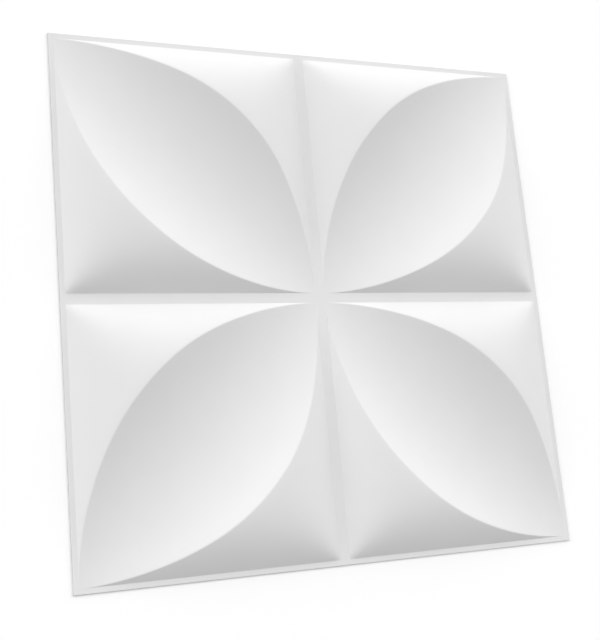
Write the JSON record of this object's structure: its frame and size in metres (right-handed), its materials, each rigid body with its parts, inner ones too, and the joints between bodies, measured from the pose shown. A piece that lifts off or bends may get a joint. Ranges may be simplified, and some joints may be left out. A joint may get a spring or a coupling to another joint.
{
  "type": "3d wall panel tile",
  "caption": "Square thin formed plastic wall tile in raised relief: cells divided by flat bands, each with a petal-shaped trough on the diagonal, for gluing edge to edge on a wall.",
  "frame": {"origin": "centre of the tile in the plane of its flat back, at the underside of the crossing bands", "axes": "+Z out of the decorated face, away from the wall; +X and +Y along the tile's sides, +Y up as the picture shows the tile"},
  "size_m": [0.5, 0.5, 0.021],
  "materials": {
    "sheet": "matte white"
  },
  "bodies": {
    "root": {"panel_tile": "sheet"}
  },
  "joints": []
}
